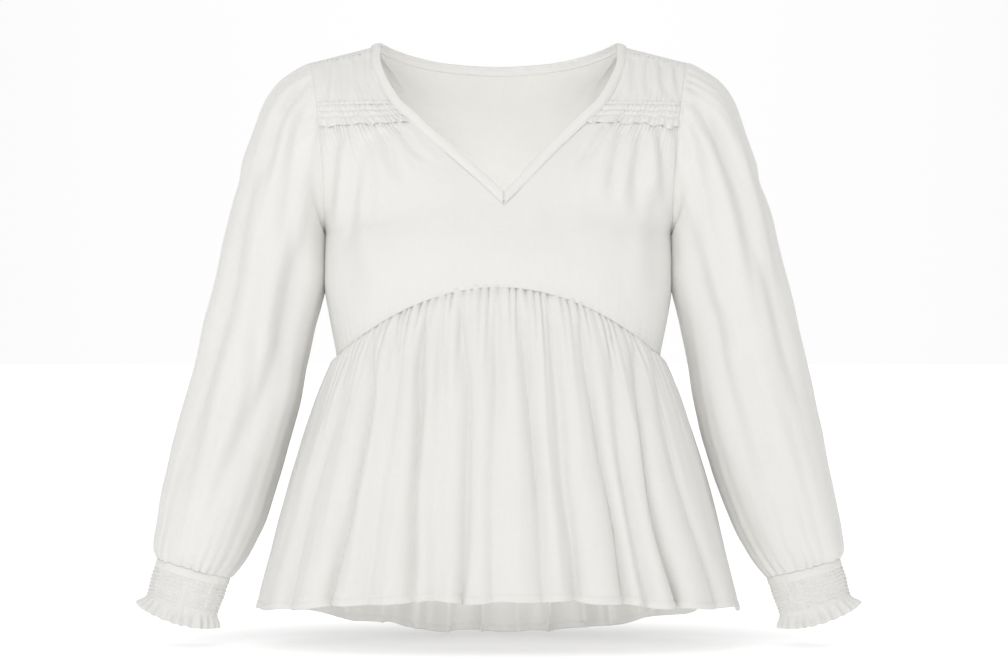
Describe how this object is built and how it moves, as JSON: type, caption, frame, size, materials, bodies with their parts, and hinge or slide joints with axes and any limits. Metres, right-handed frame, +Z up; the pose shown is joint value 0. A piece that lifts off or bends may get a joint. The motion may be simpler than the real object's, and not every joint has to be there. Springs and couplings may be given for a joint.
{
  "type": "long-sleeved peplum blouse",
  "caption": "White woven V-neck blouse with shirred shoulder bands, long sleeves gathered into shirred frilled cuffs, and a gathered peplum on an arched empire seam.",
  "frame": {"origin": "midway between the two high shoulder points, where the wearer's shoulders carry the blouse", "axes": "+Z up, the front faces -Y, and +X is the wearer's left"},
  "size_m": [0.7998, 0.3224, 0.659],
  "materials": {
    "body_cloth": "matt plain weave",
    "sleeve_cloth": "matt plain weave",
    "peplum_cloth": "matt plain weave",
    "shirred_cloth": "matt, shirred in rows",
    "binding_cloth": "matt, pressed and edge-stitched"
  },
  "bodies": {
    "root": {"front_bodice": "body_cloth", "back_bodice": "body_cloth", "shoulder_yoke_left": "body_cloth", "shoulder_yoke_right": "body_cloth", "shoulder_band_left": "shirred_cloth", "shoulder_band_right": "shirred_cloth", "neck_binding": "binding_cloth", "sleeve_left": "sleeve_cloth", "sleeve_right": "sleeve_cloth", "cuff_left": "shirred_cloth", "cuff_right": "shirred_cloth", "peplum_front": "peplum_cloth", "peplum_back": "peplum_cloth"}
  },
  "joints": []
}
